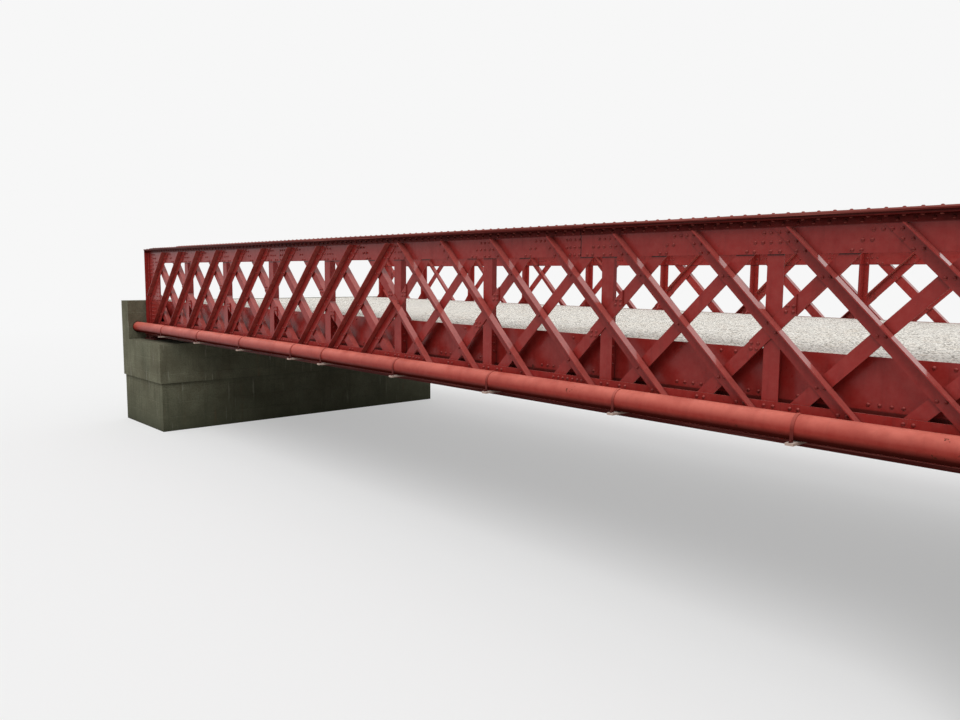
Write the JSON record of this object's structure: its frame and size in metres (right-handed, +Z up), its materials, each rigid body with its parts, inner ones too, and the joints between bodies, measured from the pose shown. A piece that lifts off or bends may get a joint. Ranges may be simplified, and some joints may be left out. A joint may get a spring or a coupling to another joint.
{
  "type": "riveted lattice-girder road bridge with a service pipe",
  "caption": "Through bridge with riveted lattice girders on both sides of a concrete deck, concrete abutments and a steel pipe along one girder.",
  "frame": {"origin": "centre of the bridge at the level of the ground on which both abutments stand", "axes": "+X along the span towards the end nearer the picture's camera, +Y across the road away from the side with the pipe, +Z up"},
  "size_m": [19.4, 7.0402, 3.78],
  "materials": {
    "girder_paint": "satin",
    "pipe_paint": "satin",
    "under_paint": "matte",
    "deck_concrete": "matte",
    "wall_concrete": "matte"
  },
  "bodies": {
    "root": {"near_top_web": "girder_paint", "near_bottom_web": "girder_paint", "near_end_plates": "girder_paint", "near_top_angles": "girder_paint", "near_bottom_angles": "girder_paint", "near_top_flange": "girder_paint", "near_top_cover": "girder_paint", "near_bottom_flange": "girder_paint", "near_struts": "girder_paint", "near_ties": "girder_paint", "near_posts": "girder_paint", "near_end_angles": "girder_paint", "near_splices": "girder_paint", "near_packings": "girder_paint", "near_side_plates": "girder_paint", "near_knees": "girder_paint", "far_top_web": "girder_paint", "far_bottom_web": "girder_paint", "far_end_plates": "girder_paint", "far_top_angles": "girder_paint", "far_bottom_angles": "girder_paint", "far_top_flange": "girder_paint", "far_top_cover": "girder_paint", "far_bottom_flange": "girder_paint", "far_struts": "girder_paint", "far_ties": "girder_paint", "far_posts": "girder_paint", "far_end_angles": "girder_paint", "far_splices": "girder_paint", "far_packings": "girder_paint", "far_side_plates": "girder_paint", "far_knees": "girder_paint", "cross_girders": "under_paint", "stringers": "under_paint", "deck_slab": "deck_concrete", "service_pipe": "pipe_paint", "pipe_saddles": "girder_paint", "pipe_straps": "pipe_paint", "bearings": "under_paint", "left_abutment": "wall_concrete", "left_back_wall": "wall_concrete", "right_abutment": "wall_concrete", "right_back_wall": "wall_concrete"}
  },
  "joints": []
}
